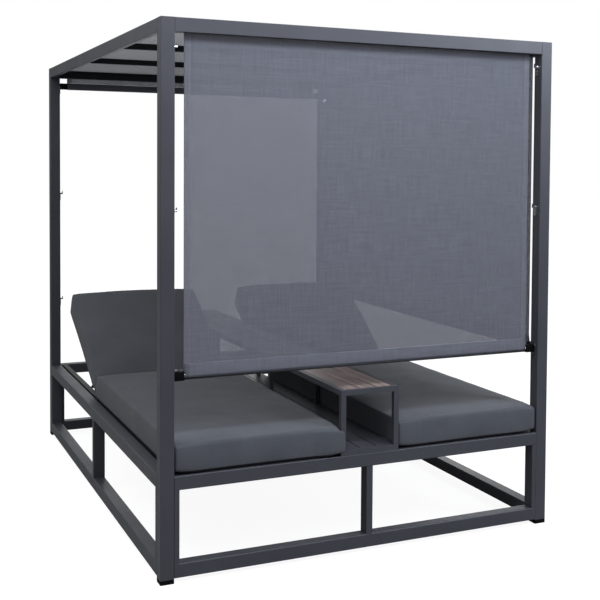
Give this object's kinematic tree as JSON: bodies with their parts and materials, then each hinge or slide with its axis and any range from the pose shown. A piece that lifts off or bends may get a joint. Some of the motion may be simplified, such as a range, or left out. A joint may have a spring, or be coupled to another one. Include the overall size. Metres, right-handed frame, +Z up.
{
  "type": "outdoor daybed with canopy",
  "caption": "Outdoor daybed: square-tube frame with canopy roof, twin reclining loungers, slatted console between them, roll-up side screens.",
  "frame": {"origin": "on the floor, at the centre of the four posts", "axes": "+Z up; +Y from the foot of the beds to their head; +X to the right seen from the foot"},
  "size_m": [1.62, 2.27, 1.97],
  "materials": {
    "frame": "satin",
    "foot": "matte",
    "hook": "polished",
    "screen": "matte",
    "screen_bar": "satin",
    "canopy": "matte",
    "slat": "satin",
    "black_metal": "satin",
    "stay": "satin",
    "cushion": "matte"
  },
  "bodies": {
    "frame": {"post_front_left": "frame", "foot_front_left": "foot", "post_front_right": "frame", "foot_front_right": "foot", "post_back_left": "frame", "foot_back_left": "foot", "post_back_right": "frame", "foot_back_right": "foot", "base_frame_front": "frame", "top_rail_front": "frame", "base_frame_right": "frame", "top_rail_right": "frame", "base_frame_back": "frame", "top_rail_back": "frame", "base_frame_left": "frame", "top_rail_left": "frame", "front_screen_cloth": "screen", "front_screen_head_strip": "screen_bar", "front_screen_hook_a1": "hook", "front_screen_hook_a2": "hook", "front_screen_hook_a3": "hook", "front_screen_hook_b1": "hook", "front_screen_hook_b2": "hook", "front_screen_hook_b3": "hook", "right_screen_cloth": "screen", "right_screen_head_strip": "screen_bar", "right_screen_hook_a1": "hook", "right_screen_hook_a2": "hook", "right_screen_hook_a3": "hook", "right_screen_hook_b1": "hook", "right_screen_hook_b2": "hook", "right_screen_hook_b3": "hook", "back_screen_cloth": "screen", "back_screen_head_strip": "screen_bar", "back_screen_hook_a1": "hook", "back_screen_hook_a2": "hook", "back_screen_hook_a3": "hook", "back_screen_hook_b1": "hook", "back_screen_hook_b2": "hook", "back_screen_hook_b3": "hook", "roof_beam_1": "black_metal", "roof_beam_2": "black_metal", "canopy": "canopy", "console_frame": "frame", "console_slat_1": "slat", "console_slat_2": "slat", "console_slat_3": "slat", "left_deck": "black_metal", "left_seat_cushion": "cushion", "right_deck": "black_metal", "right_seat_cushion": "cushion"},
    "front_screen": {"front_screen_bar": "screen_bar"},
    "right_screen": {"right_screen_bar": "screen_bar"},
    "back_screen": {"back_screen_bar": "screen"},
    "left_backrest": {"left_backrest_frame": "black_metal", "left_back_cushion": "cushion"},
    "left_stay": {"left_stay": "stay"},
    "right_backrest": {"right_backrest_frame": "black_metal", "right_back_cushion": "cushion"},
    "right_stay": {"right_stay": "stay"}
  },
  "joints": [
    {"name": "left_recline", "type": "hinge", "parent": "frame", "child": "left_backrest", "pos_m": [-0.436, 0.257, 0.368], "axis": [1, 0, 0], "range_deg": [-30, 15]},
    {"name": "left_stay_fold", "type": "hinge", "parent": "left_backrest", "child": "left_stay", "pos_m": [-0.436, 0.43627, 0.4715], "axis": [1, 0, 0], "range_deg": [-31, 62]},
    {"name": "right_recline", "type": "hinge", "parent": "frame", "child": "right_backrest", "pos_m": [0.436, 0.257, 0.368], "axis": [1, 0, 0], "range_deg": [-30, 15]},
    {"name": "right_stay_fold", "type": "hinge", "parent": "right_backrest", "child": "right_stay", "pos_m": [0.436, 0.43627, 0.4715], "axis": [1, 0, 0], "range_deg": [-31, 62]},
    {"name": "front_screen_raise", "type": "slide", "parent": "frame", "child": "front_screen", "axis": [0, 0, 1], "range_m": [0, 1.136], "deforming": ["front_screen_cloth"]},
    {"name": "right_screen_raise", "type": "slide", "parent": "frame", "child": "right_screen", "axis": [0, 0, 1], "range_m": [0, 1.136], "deforming": ["right_screen_cloth"]},
    {"name": "back_screen_lower", "type": "slide", "parent": "frame", "child": "back_screen", "axis": [0, 0, -1], "range_m": [0, 1.136], "deforming": ["back_screen_cloth"]}
  ],
  "couplings": [
    {"joint": "left_stay_fold", "follows": "left_recline", "ratio": -2.06},
    {"joint": "right_stay_fold", "follows": "right_recline", "ratio": -2.06}
  ]
}
